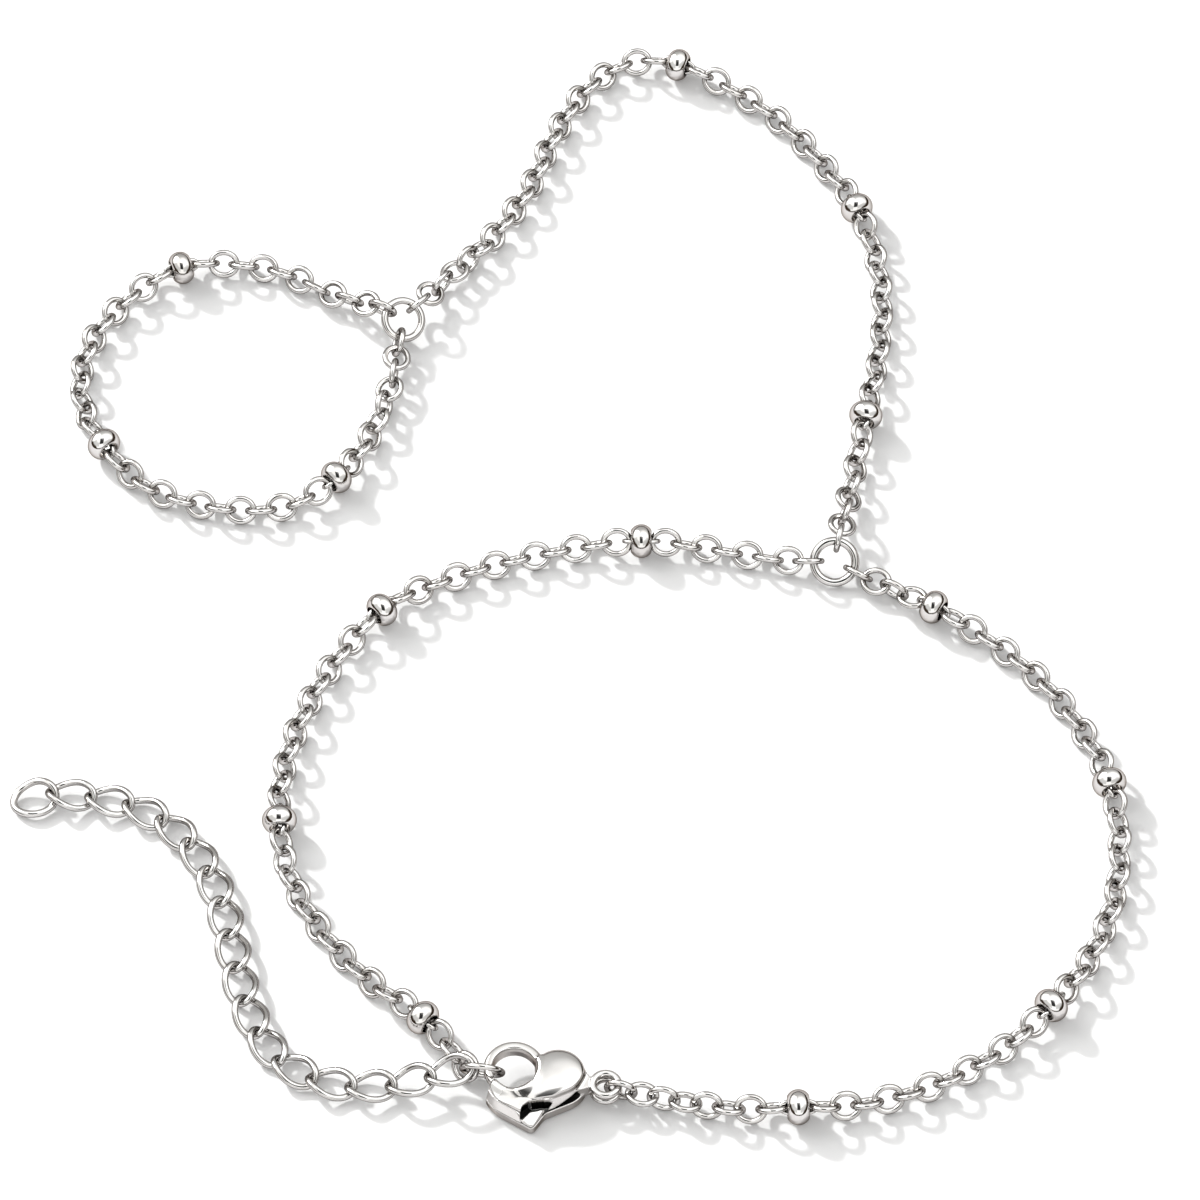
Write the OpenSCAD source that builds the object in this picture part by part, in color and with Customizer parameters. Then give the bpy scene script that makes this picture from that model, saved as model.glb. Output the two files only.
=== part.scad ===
// Hand chain lying on a table: a wrist loop of beaded cable chain, a chain across the
// back of the hand, a finger loop, a curb chain extender and a heart-shaped clasp.
// Millimetres. +Z is up, the table is at Z = 0, and +Y leads from the wrist to the finger.

/* [Cable chain] */
// Distance from one link to the next along the chain
pitch = 1.4; // [1.34:0.01:1.4]
// Outer length of a link
link_length = 2.2; // [2.2:0.01:2.22]
// Outer width of a link
link_width = 1.96; // [1.94:0.01:2.0]
// Wire thickness of a link
link_wire = 0.32; // [0.28:0.01:0.32]

/* [Beads] */
// Diameter of a bead
bead_d = 2.31; // [2.25:0.01:2.4]
// Thickness of a bead along the chain
bead_t = 1.64; // [1.6:0.01:1.68]
// Diameter of the hole through a bead
bead_bore = 1.34; // [1.34:0.01:1.36]
// Room that a bead takes up between the links on its two sides
bead_gap = 1.92; // [1.92:0.01:2.0]
// Outer width of the narrow link that runs through a bead
carrier_width = 1.14; // [1.12:0.01:1.14]
// Wire thickness of that link
carrier_wire = 0.25; // [0.24:0.01:0.25]

/* [Rings] */
// Outer diameter of the ring that joins the wrist loop to the hand chain
wrist_ring_d = 3.4; // [3.3:0.05:3.5]
// Wire thickness of that ring
wrist_ring_wire = 0.55; // [0.45:0.05:0.55]
// Outer diameter of the ring that closes the finger loop
finger_ring_d = 3.2; // [3.1:0.05:3.3]
// Wire thickness of that ring
finger_ring_wire = 0.5; // [0.4:0.05:0.5]
// Outer diameter of the jump ring in the clasp
clasp_ring_d = 3.0; // [2.95:0.05:3.05]
// Wire thickness of that ring
clasp_ring_wire = 0.4; // [0.35:0.05:0.4]
// Outer length of the rounded link at the extender's free end
end_ring_length = 3.3; // [3.2:0.05:3.4]
// Outer width of that link
end_ring_width = 2.9; // [2.8:0.05:2.95]
// Wire thickness of that link
end_ring_wire = 0.4; // [0.35:0.05:0.4]

/* [Extender] */
// Distance from one curb link to the next
curb_pitch = 2.6; // [2.5:0.01:2.6]
// Outer length of a curb link
curb_length = 3.42; // [3.42:0.01:3.46]
// Outer width of a curb link
curb_width = 2.45; // [2.4:0.01:2.5]
// Wire thickness of a curb link
curb_wire = 0.34; // [0.3:0.01:0.34]
// How far each end of a curb link is turned out of the flat, in degrees
curb_twist = 45; // [40:1:50]

/* [Clasp] */
// Height of the clasp's back plate
back_plate = 0.7; // [0.6:0.05:0.7]
// Height at which the front plate starts
front_plate = 1.5; // [1.5:0.05:1.6]
// Overall height of the clasp
clasp_t = 2.35; // [2.3:0.05:2.5]
// Width of the hook's wall, seen from above
hook_wall = 0.6; // [0.58:0.01:0.62]
// Height of the hook's wall
hook_t = 1.05; // [1:0.05:1.1]
// Thickness of the lever
lever_t = 0.6; // [0.5:0.05:0.6]
// Diameter of the lever's pin
pin_d = 0.4; // [0.36:0.02:0.44]

/* [Hidden] */
BEADS = 14;
function bead_name(i) = str("bead_", i < 9 ? "0" : "", i + 1);
$fn = 48;

steel = "silver";
bright = "gainsboro";

// How far the end wire of a link reaches past the point where it crosses its neighbour
hook = (link_length - link_wire - pitch) / 2;
curb_hook = (curb_length - curb_wire - curb_pitch) / 2;
// Clear space between a ring's wire and the first link on it
ring_room = 0.14;
// More of it round the clasp's ring, where two chains meet
curb_room = 0.15;
// Slopes at which a chain comes down from a bead and from a ring
bead_slope = 0.13;
ring_slope = 0.25;

// Middle of the whole thing, which is moved to the origin
middle = [-2.02, 2.86];

// Rings as [centre x, centre y, tilt, azimuth of the tilt's axis, outer diameter, wire, lift].
// The links that pass under a ring lift its lowest point off the table.
WRIST = [15.9, 2.3, 38, 0, wrist_ring_d, wrist_ring_wire, 0.1];
FINGER = [-13.7, 23.1, 34, 35, finger_ring_d, finger_ring_wire, 0.42];
CLASP = [-7.55, -38.42, -70, -7, clasp_ring_d, clasp_ring_wire, 0.18];

function ring_radius(r) = (r[4] - r[5]) / 2;
function ring_centre(r) = [r[0], r[1], ring_radius(r) * abs(sin(r[2])) + r[5] / 2 + r[6]];
function ring_axis(r) = [cos(r[3]), sin(r[3]), 0];
function ring_slant(r) = [-sin(r[3]) * cos(r[2]), cos(r[3]) * cos(r[2]), sin(r[2])];
// Middle of a ring's wire at an angle round it, and the way the wire runs there
function on_ring(r, a) = ring_centre(r) + ring_radius(r) * (cos(a) * ring_axis(r) + sin(a) * ring_slant(r));
function along_ring(r, a) = cos(a) * ring_slant(r) - sin(a) * ring_axis(r);

function unit(v) = v / norm(v);
function flat(v) = [v[0], v[1]];
function last(v) = v[len(v) - 1];
function wrap(angle) = angle - 180 * round(angle / 180);
// Direction in which a chain leaves a ring for its nearest way point
function leaving(r, a, to) =
    let (d = to - flat(on_ring(r, a)))
    unit([d[0], d[1], -ring_slope * norm(d)]);
// First crossing of a chain on a ring: the link's end wire lies just past the ring's wire
function joint_on(r, a, to, wire, reach) =
    on_ring(r, a) - leaving(r, a, to) * ((r[5] + wire) / 2 + ring_room - reach);
// Turn about its run of a link that goes in direction t and takes wire w square through itself
function square_roll(w, t) =
    let (side = unit([-t[1], t[0], 0]))
    let (face = cross(w, t))
    atan2(face * cross(t, side), face * side);

// A smooth curve through points, as a close row of points
function bend(a, b, c, d, t) =
    (2 * b + (c - a) * t + (2 * a - 5 * b + 4 * c - d) * t * t + (3 * b - a - 3 * c + d) * t * t * t) / 2;
function smooth(p, steps = 8) = [
    for (i = [0:len(p) - 2])
        let (a = i == 0 ? 2 * p[0] - p[1] : p[i - 1])
        let (d = i == len(p) - 2 ? 2 * p[i + 1] - p[i] : p[i + 2])
        for (s = [0:steps - (i == len(p) - 2 ? 0 : 1)])
            bend(a, p[i], p[i + 1], d, s / steps)
];
// Running totals of a list, from 0
function totals(v) = [for (i = 0, s = 0; i <= len(v); s = s + (i < len(v) ? v[i] : 0), i = i + 1) s];
function run_lengths(p) = totals([for (i = [1:len(p) - 1]) norm(p[i] - p[i - 1])]);

// Lengths that the links of a chain take up, with a bead's carrier link between two groups
function slots(groups) = [
    for (g = [0:len(groups) - 1])
        each concat([for (i = [1:groups[g]]) pitch], g < len(groups) - 1 ? [bead_gap] : [])
];

// Turn of each link: quarter turns that lean 45 degrees, eased at both ends into the rings
ease = 6;
function base_roll(k) = 45 + 90 * k;
function link_roll(k, n, first, end) =
    base_roll(k) + wrap(first - base_roll(0)) * max(0, 1 - k / ease)
    + wrap(end - base_roll(n - 1)) * max(0, 1 - (n - 1 - k) / ease);

// Height at which a link with this turn just rests on the table
function rest_height(roll) = (link_width - link_wire) / 2 * abs(sin(roll)) + link_wire / 2;

// Heights of a chain's crossing points: on the table, or on the way down from a bead or ring
function heights(start_z, end_z, groups, first, final) =
    let (gap = slots(groups))
    let (n = len(gap))
    let (place = totals(gap))
    let (bead_at = [for (k = [0:n - 1]) if (gap[k] != pitch) (place[k] + place[k + 1]) / 2])
    [
        for (k = [0:n])
            let (low = max([for (j = [max(0, k - 1):min(n - 1, k)]) rest_height(link_roll(j, n, first, final))]))
            let (near = min([for (b = bead_at) abs(place[k] - b)]))
            let (bead_z = bead_d / 2 - bead_slope * max(0, near - bead_gap / 2))
            let (from_start = start_z - ring_slope * place[k])
            let (from_end = end_z - ring_slope * (last(place) - place[k]))
            k == 0 ? start_z : k == n ? end_z : max(low, bead_z, from_start, from_end)
    ];
// Points spread along a line on the table, so many apart once their heights are counted in
function spread(line, z, gap) =
    let (run = run_lengths(line))
    let (place = totals([for (k = [0:len(gap) - 1]) sqrt(gap[k] ^ 2 - (z[k + 1] - z[k]) ^ 2)]))
    let (stretch = last(run) / last(place))
    let (xs = [for (i = [0:len(run) - 1]) [run[i], line[i][0]]])
    let (ys = [for (i = [0:len(run) - 1]) [run[i], line[i][1]]])
    [for (k = [0:len(gap)]) [lookup(place[k] * stretch, xs), lookup(place[k] * stretch, ys), z[k]]];
// Crossing points of the links of one chain, from start to end through the way points
function crossings(start, way, end, groups, first, final) =
    spread(
        smooth(concat([flat(start)], way, [flat(end)])),
        heights(start[2], end[2], groups, first, final), slots(groups)
    );

// Way points of each chain on the table, as [x, y] from the middle of the view
LEFT_WAY = [
    [11, 3], [5.5, 4], [0, 4], [-5, 3], [-10, 1.3], [-14.4, -1.3], [-18, -6], [-20.3, -11.5],
    [-21.2, -17], [-20.5, -22.5], [-18, -27.5], [-14.5, -31.5], [-11.3, -34.2]
];
RIGHT_WAY = [
    [21.5, -0.8], [26.3, -4], [30.3, -8.2], [33.1, -13.6], [34.2, -19.3], [33.5, -25.3], [30.9, -30.9],
    [26.9, -35.5], [21.9, -38.8], [16, -40.6], [10, -40.9], [5, -40.3]
];
HAND_WAY = [
    [-10.8, 27], [-7.6, 31], [-5, 35.5], [-3.2, 40.5], [-0.8, 44.9], [2.5, 47.2], [7, 46.1],
    [12, 42.6], [15.9, 37.6], [18.6, 32.2], [19.7, 26.5], [19.4, 20.8], [18.3, 14.8], [17.2, 9]
];
FINGER_WAY = [
    [-18.5, 25.6], [-23, 28.1], [-28, 28.4], [-32, 26.4], [-35, 22.5], [-36, 17.8], [-34.5, 13],
    [-31, 9], [-26, 7.2], [-21.5, 7.3], [-18, 9.5], [-15.8, 13.5], [-14.4, 18]
];
EXTENSION_WAY = [
    [-13, -39], [-17.4, -38.8], [-20.9, -36.8], [-22.9, -32.8], [-24, -28], [-25.3, -23.2],
    [-27.9, -19.15], [-31.8, -16.85]
];

// Links between the rings and beads, counted along each chain
LEFT_LINKS = [8, 12, 12, 12, 3];
RIGHT_LINKS = [4, 12, 12, 12, 8];
HAND_LINKS = [22, 12, 12, 8];
FINGER_LINKS = [11, 12, 12, 9];
CURB_LINKS = 16;

// Each chain as [crossing points, groups of links, turn of first link, turn of last link]
function chain(start, way, end, groups, first, final) =
    [crossings(start, way, end, groups, first, final), groups, first, final];
function heading(a, b) = atan2(b[1] - a[1], b[0] - a[0]);

// Middle of the clasp's eye, and the crossing of the last link in it
eye = [0.36, -39.3, 1];
eye_joint = eye + [0.29, -0.03, 0];

// A chain that starts on a ring and ends on another, at angles round them
function ring_to_ring(r0, a0, way, r1, a1, groups) =
    chain(
        joint_on(r0, a0, way[0], link_wire, hook), way, joint_on(r1, a1, last(way), link_wire, hook), groups,
        square_roll(along_ring(r0, a0), leaving(r0, a0, way[0])),
        square_roll(along_ring(r1, a1), -leaving(r1, a1, last(way)))
    );

LEFT = ring_to_ring(WRIST, 178, LEFT_WAY, CLASP, 132, LEFT_LINKS);
HAND = ring_to_ring(FINGER, 20, HAND_WAY, WRIST, 80, HAND_LINKS);
FINGERS = ring_to_ring(FINGER, 120, FINGER_WAY, FINGER, 227, FINGER_LINKS);
RIGHT = chain(
    joint_on(WRIST, -28, RIGHT_WAY[0], link_wire, hook), RIGHT_WAY, eye_joint, RIGHT_LINKS,
    square_roll(along_ring(WRIST, -28), leaving(WRIST, -28, RIGHT_WAY[0])), 90
);
CURB_START = joint_on(CLASP, 198, EXTENSION_WAY[0], curb_wire, curb_hook - curb_room);
CURB_END = [-36.28, -16.33, 0.77];

// Solids that every chain is made of

// A closed oval link of round wire, flat on XY with its length along X
module oval_link(length, width, wire) {
    bar = length - width;
    r = (width - wire) / 2;
    for (side = [-1, 1]) {
        translate([side * bar / 2, 0, 0])
            rotate([0, 0, side * 90 - 180])
                rotate_extrude(angle = 180) translate([r, 0]) circle(d = wire);
        translate([-bar / 2, side * r, 0]) rotate([0, 90, 0]) cylinder(d = wire, h = bar);
    }
}

// Sets a piece that lies along X between two points, turned about its own run
module between(a, b, roll) {
    d = b - a;
    translate((a + b) / 2) rotate([roll, -asin(d[2] / norm(d)), heading(a, b)]) children();
}

module cable(c) {
    gap = slots(c[1]);
    n = len(gap);
    for (k = [0:n - 1])
        between(c[0][k], c[0][k + 1], link_roll(k, n, c[2], c[3]))
            if (gap[k] == pitch) oval_link(link_length, link_width, link_wire);
            else oval_link(bead_gap + 2 * hook + carrier_wire, carrier_width, carrier_wire);
}

// A round bead with bulging sides, drilled along X
module rondelle() {
    bulge = bead_t / 2;
    rotate([0, 90, 0])
        rotate_extrude()
            difference() {
                translate([bead_d / 2 - bulge, 0]) circle(r = bulge);
                translate([-2 * bead_d, -bead_t]) square([2 * bead_d + bead_bore / 2, 2 * bead_t]);
            }
}

module round_ring(r) {
    translate(ring_centre(r))
        rotate([r[2], 0, r[3]])
            rotate_extrude() translate([ring_radius(r), 0]) circle(d = r[5]);
}

// Crossings on both sides of each bead of a chain
function bead_seats(c) =
    let (gap = slots(c[1]))
    [for (k = [0:len(gap) - 1]) if (gap[k] != pitch) [c[0][k], c[0][k + 1]]];
SEATS = concat(bead_seats(FINGERS), bead_seats(HAND), bead_seats(LEFT), bead_seats(RIGHT));

module bead(i) {
    color(bright) between(SEATS[i][0], SEATS[i][1], 0) rondelle();
}

// Curb links as [length, width, wire, turn of the far end as a share of the near end's]: ovals
// whose ends are turned opposite ways, so that the chain lies flat. The end ring is a rounder
// one whose free end is not turned.
CURB_LINK = [curb_length, curb_width, curb_wire, 1];
END_LINK = [end_ring_length, end_ring_width, end_ring_wire, 0];
CURB_STEPS = 12;
CURB_SIDES = 6;
function curb_turn(c, a) = curb_twist * (c[3] * (1 + cos(a)) / 2 - ((1 - cos(a)) / 2) ^ (2 - c[3]));
function curb_line(c, a) =
    let (y = (c[1] - c[2]) / 2 * sin(a))
    let (turn = curb_turn(c, a))
    [(c[0] - c[2]) / 2 * cos(a), y * cos(turn), y * sin(turn)];
function curb_ring(c, a) =
    let (along = unit(curb_line(c, a + 1) - curb_line(c, a - 1)))
    let (turn = curb_turn(c, a))
    let (face = [0, -sin(turn), cos(turn)])
    let (up = unit(face - along * (face * along)))
    let (out = cross(up, along))
    [
        for (j = [0:CURB_SIDES - 1])
            curb_line(c, a) + c[2] / 2 * (cos(j * 360 / CURB_SIDES) * out + sin(j * 360 / CURB_SIDES) * up)
    ];

module curb_link(c) {
    points = [for (i = [0:CURB_STEPS - 1]) each curb_ring(c, i * 360 / CURB_STEPS)];
    function at(i, j) = (i % CURB_STEPS) * CURB_SIDES + j % CURB_SIDES;
    faces = [
        for (i = [0:CURB_STEPS - 1])
            for (j = [0:CURB_SIDES - 1])
                each [
                    [at(i, j), at(i + 1, j), at(i + 1, j + 1)],
                    [at(i, j), at(i + 1, j + 1), at(i, j + 1)]
                ]
    ];
    polyhedron(points, faces);
}

// Height of a curb link's middle over the table
curb_z = 0.57;
CURB_Z = [
    for (k = [0:CURB_LINKS])
        k == CURB_LINKS ? CURB_END[2] : max(curb_z, CURB_START[2] - ring_slope * curb_pitch * k)
];
CURB = spread(
    smooth(concat([flat(CURB_START)], EXTENSION_WAY, [flat(CURB_END)])),
    CURB_Z, [for (k = [1:CURB_LINKS]) curb_pitch]
);

// The end ring reaches past its crossing by its own hook, and slopes down to its free end
end_hook = 0.29;
end_heading = 194;
end_run = end_ring_length - end_ring_wire - 2 * end_hook;
END_FAR = CURB_END + end_run * [cos(end_heading), sin(end_heading), -0.19];

module extension_chain() {
    color(steel) for (k = [0:CURB_LINKS - 1]) between(CURB[k], CURB[k + 1], 0) curb_link(CURB_LINK);
}

module wrist_chain_left() { color(steel) cable(LEFT); }
module wrist_chain_right() { color(steel) cable(RIGHT); }
module hand_chain() { color(steel) cable(HAND); }
module finger_chain() { color(steel) cable(FINGERS); }
module wrist_ring() { color(bright) round_ring(WRIST); }
module finger_ring() { color(bright) round_ring(FINGER); }
module clasp_ring() { color(steel) round_ring(CLASP); }
module end_ring() { color(steel) between(CURB_END, END_FAR, 0) curb_link(END_LINK); }

// Clasp: a heart whose left lobe is a hook, closed by a lever that turns on a pin near the tip

// Lobes, nose, belly and tip of the heart, and the hook's hole, as [centre, radius]
HOOK_LOBE = [[-5.5, -38.3], 1.95];
DOME_LOBE = [[-2.66, -38.75], 1.85];
NOSE = [[-4.3, -41.05], 0.45];
BELLY = [[-5.05, -38.95], 2.5];
TIP = [[-4.42, -41.85], 0.35];
HOLE = [[-5.45, -38.4], 1.42];
// Where the lever turns, and the reach of the plates and of the gate round that point
pivot = [-4.75, -41.35];
plate_reach = 1.85;
gate_reach = [1.95, 2.84];
running = 0.08;
boss_d = 1.1;
// How much the hook lobe's side stands back from the tip
seam = 0.02;
// Sectors round the pivot that the lever's arm and thumb tab sweep
ARM_SWING = [118, 235];
ARM_ROOM = [62, 120];
TAB_SWING = [-100, 20];
tab_reach = 2.15;
// Spheres that bound the domed lobe, the front plate's lower end and the gate, as [centre, radius]
DOME = [[-2.85, -38.95, clasp_t - 3.8], 3.8];
SHOULDER = [[-4.2, -40.4, -3.2], 5.1];
GATE_TOP = [[-4.5, -40.1, -3.2], 5.1];
gate_low = 0.12;
hook_low = 0.9;
hook_span = [18, 215];
// Root of the gate's arm and end of the thumb tab as [centre, radius]
ARM = [[-6.02, -40.07], 0.34];
TAB = [[-3.95, -41.75], 0.3];
// The arm also fills the heart's side in this sector, and stands back from it by arm_inset
ARM_SIDE = [140, 229];
arm_inset = 0.1;
// Corners of the window in the front plate over the thumb tab
WINDOW = [[-4.9, -43], [-4.75, -41.9], [-4.6, -41.05], [-2.87, -40.78], [-3.7, -41.6], [-3.5, -43]];
// The eye is two rings of wire, one on the other, joined to the lobe by a neck
eye_bend = 0.85;
eye_wire = 0.44;
eye_step = 0.33;
NECK = [[-1.4, -39.05], 0.6];
// Slit along the lower right side: its lower and upper height, depth, and the side it is on
slit = [0.95, 1.2];
slit_depth = 0.5;
SLIT_SIDE = [[-4.5, -44], [-0.5, -44], [-0.5, -39], [-4.5, -39]];

module disc(c) { translate(c[0]) circle(r = c[1]); }
// Two discs and what lies between their outer tangents, as one outline
module drop(c, d, steps = 20) {
    way = d[0] - c[0];
    toward = atan2(way[1], way[0]);
    lean = acos((c[1] - d[1]) / norm(way));
    function arc(e, from, to) = [
        for (i = [0:steps])
            let (a = toward + from + (to - from) * i / steps)
            e[0] + e[1] * [cos(a), sin(a)]
    ];
    polygon(concat(arc(c, lean, 360 - lean), arc(d, -lean, lean)));
}
// Sector of a disc round the pivot
module sector(r, span) {
    middle_way = (span[0] + span[1]) / 2;
    translate(pivot) intersection() {
        circle(r = r);
        polygon([[0, 0], for (a = [span[0], middle_way, span[1]]) 2 * r * [cos(a), sin(a)]]);
    }
}
module heart_plate() {
    difference() {
        union() {
            drop(DOME_LOBE, NOSE);
            intersection() {
                drop(BELLY, [TIP[0], TIP[1] - seam]);
                translate(pivot) circle(r = plate_reach);
            }
        }
        disc(HOLE);
    }
}
module slab(low, high) { translate([0, 0, low]) linear_extrude(high - low) children(); }

module hook() {
    r = hook_wall / 2;
    translate([HOOK_LOBE[0][0], HOOK_LOBE[0][1], hook_low])
        rotate([0, 0, hook_span[0]])
            rotate_extrude(angle = hook_span[1] - hook_span[0])
                translate([HOOK_LOBE[1] - r, 0]) {
                    translate([0, r]) circle(r = r);
                    translate([0, hook_t - r]) circle(r = r);
                    translate([-r, r]) square([2 * r, hook_t - 2 * r]);
                }
}
module eye_rings() {
    for (side = [-1, 1])
        translate(eye + [0, 0, side * eye_step])
            rotate_extrude() translate([eye_bend, 0]) circle(d = eye_wire);
    difference() {
        slab(eye[2] - eye_step - eye_wire / 3, eye[2] + eye_step + eye_wire / 3)
            drop(NECK, [flat(eye) - [eye_bend, 0], eye_wire / 3]);
        translate([eye[0], eye[1], 0]) cylinder(r = eye_bend - eye_wire / 3, h = clasp_t);
    }
}
module ball(c) { translate(c[0]) sphere(r = c[1]); }
module clasp_body() {
    color(bright) difference() {
        union() {
            for (top = [DOME, SHOULDER])
                intersection() {
                    slab(0, clasp_t) heart_plate();
                    ball(top);
                }
            hook();
            eye_rings();
        }
        slab(back_plate, front_plate) {
            sector(2 * plate_reach, ARM_SWING);
            sector(plate_reach + running, ARM_ROOM);
            sector(tab_reach, TAB_SWING);
            translate(pivot) circle(d = boss_d + 4 * running);
        }
        slab(front_plate - running, 2 * clasp_t) polygon(WINDOW);
        slab(slit[0], slit[1])
            difference() {
                polygon(SLIT_SIDE);
                drop([DOME_LOBE[0], DOME_LOBE[1] - slit_depth], [NOSE[0], NOSE[1] - slit_depth / 2]);
            }
        translate([pivot[0], pivot[1], -1]) cylinder(d = pin_d + running / 2, h = 2 * clasp_t);
    }
}
module clasp_lever() {
    low = (back_plate + front_plate - lever_t) / 2;
    color(steel) difference() {
        union() {
            slab(low, low + lever_t) {
                drop([pivot, boss_d / 2], ARM);
                drop([pivot, boss_d / 2], TAB);
                intersection() {
                    drop([BELLY[0], BELLY[1] - arm_inset], [TIP[0], TIP[1] - arm_inset]);
                    sector(gate_reach[0] + arm_inset, ARM_SIDE);
                }
            }
            intersection() {
                slab(gate_low, 2 * clasp_t)
                    difference() {
                        intersection() {
                            drop(BELLY, TIP);
                            sector(gate_reach[1], ARM_SWING);
                        }
                        disc(HOLE);
                        translate(pivot) circle(r = gate_reach[0]);
                    }
                ball(GATE_TOP);
            }
        }
        translate([pivot[0], pivot[1], -1]) cylinder(d = pin_d + running, h = 2 * clasp_t);
    }
}
module clasp_pin() {
    color(steel) translate([pivot[0], pivot[1], gate_low]) cylinder(d = pin_d, h = front_plate);
}

translate([-middle[0], -middle[1], 0]) {
    for (i = [0:BEADS - 1]) bead(i);
    wrist_chain_left();
    wrist_chain_right();
    hand_chain();
    finger_chain();
    extension_chain();
    wrist_ring();
    finger_ring();
    clasp_ring();
    end_ring();
    clasp_body();
    clasp_lever();
    clasp_pin();
}
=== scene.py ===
import math

import bpy
import numpy as np
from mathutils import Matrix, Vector


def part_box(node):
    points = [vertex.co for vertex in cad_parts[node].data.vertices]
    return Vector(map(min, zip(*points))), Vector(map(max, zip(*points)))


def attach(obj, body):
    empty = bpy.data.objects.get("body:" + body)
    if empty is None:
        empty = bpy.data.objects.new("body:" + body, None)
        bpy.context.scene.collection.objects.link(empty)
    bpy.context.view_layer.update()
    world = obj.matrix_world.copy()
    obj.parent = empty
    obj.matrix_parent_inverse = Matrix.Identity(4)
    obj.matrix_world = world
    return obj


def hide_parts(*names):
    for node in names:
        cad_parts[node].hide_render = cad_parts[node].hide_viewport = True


# Looks of a beaded hand chain that lies on a white table. Lengths in the making of the
# pieces are millimetres from the middle of the view, as in the part's source; MIDDLE
# and MM bring them into the frame.
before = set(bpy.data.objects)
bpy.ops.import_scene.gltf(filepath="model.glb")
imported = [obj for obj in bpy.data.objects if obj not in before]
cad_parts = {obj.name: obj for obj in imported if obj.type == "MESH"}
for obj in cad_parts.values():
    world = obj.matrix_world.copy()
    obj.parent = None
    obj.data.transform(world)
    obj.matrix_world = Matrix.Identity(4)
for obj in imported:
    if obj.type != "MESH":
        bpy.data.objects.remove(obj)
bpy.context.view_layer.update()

MM = 0.001
MIDDLE = np.array([2.02, -2.86, 0.0])
ROUND = 2 * math.pi


# ---------------------------------------------------------------- camera, light, table

LENS = 195
SENSOR = 36
CAMERA_RISE = math.radians(54)
CAMERA_AWAY = 440.3


def look(camera, target):
    """Turns the camera's -Z to the target, with its X level."""
    camera.rotation_euler = (Vector(target) - camera.location).to_track_quat("-Z", "Y").to_euler()


def place_camera():
    """A long lens in front of the chain, raised by CAMERA_RISE."""
    camera = bpy.data.objects.new("camera", bpy.data.cameras.new("camera"))
    camera.data.lens = LENS
    camera.data.sensor_width = SENSOR
    camera.data.clip_start = 0.01
    camera.data.clip_end = 10
    back = np.array([0, -math.cos(CAMERA_RISE), math.sin(CAMERA_RISE)])
    camera.location = (MIDDLE + CAMERA_AWAY * back) * MM
    look(camera, MIDDLE * MM)
    bpy.context.scene.collection.objects.link(camera)
    bpy.context.scene.camera = camera


# ---------------------------------------------------------------- materials

class Value:
    """An output of a node. Arithmetic on it adds Math nodes to the same tree."""

    def __init__(self, tree, socket):
        self.tree = tree
        self.socket = socket

    def math(self, operation, *others):
        return self.tree.add("Math", {"operation": operation}, dict(enumerate((self,) + others)))[0]

    def __add__(self, other):
        return self.math("ADD", other)

    def __sub__(self, other):
        return self.math("SUBTRACT", other)

    def __rsub__(self, other):
        return self.tree.add("Math", {"operation": "SUBTRACT"}, {0: other, 1: self})[0]

    def __mul__(self, other):
        return self.math("MULTIPLY", other)

    __radd__ = __add__
    __rmul__ = __mul__

    def between(self, low, high):
        """0 below low, 1 above high, and a smooth step from one to the other."""
        sockets = {"Value": self, "From Min": low, "From Max": high}
        return self.tree.add("MapRange", {"interpolation_type": "SMOOTHSTEP"}, sockets)[0]


class Tree:
    """The nodes of a material or of the world."""

    def __init__(self, owner):
        owner.use_nodes = True
        self.nodes = owner.node_tree.nodes
        self.links = owner.node_tree.links

    def add(self, kind, settings=None, sockets=None):
        """Adds a node with these settings, feeds its sockets, and returns its outputs."""
        node = self.nodes.new("ShaderNode" + kind)
        for key, value in (settings or {}).items():
            setattr(node, key, value)
        self.feed(node, sockets or {})
        return [Value(self, s) for s in node.outputs if s.enabled]

    def feed(self, node, sockets):
        for key, value in sockets.items():
            if isinstance(value, Value):
                self.links.new(value.socket, node.inputs[key])
            else:
                node.inputs[key].default_value = value


def grey(value, warm=0.0):
    """A grey, a little redder and less blue by warm."""
    return (value * (1 + warm), value, value * (1 - warm), 1)


# The thin clear film over the steel, and the tint of the steel's own gloss where it turns away
FILM = {"Coat Weight": 1.0, "Coat IOR": 1.01, "Coat Roughness": 0.02}
GLANCING_TINT = (0.3, 0.25, 0.22, 1)
# Noise scales of the mottling and of the polishing marks, and the bump's depth in metres
MOTTLE_SCALE = 420.0
MARKS_SCALE = 2600.0
MARKS_DEPTH = 0.00001
# Near-black grey painted into the steel's colour where shade falls in a recess: painted shade
PAINTED_SHADE_GREY = 0.012


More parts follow.
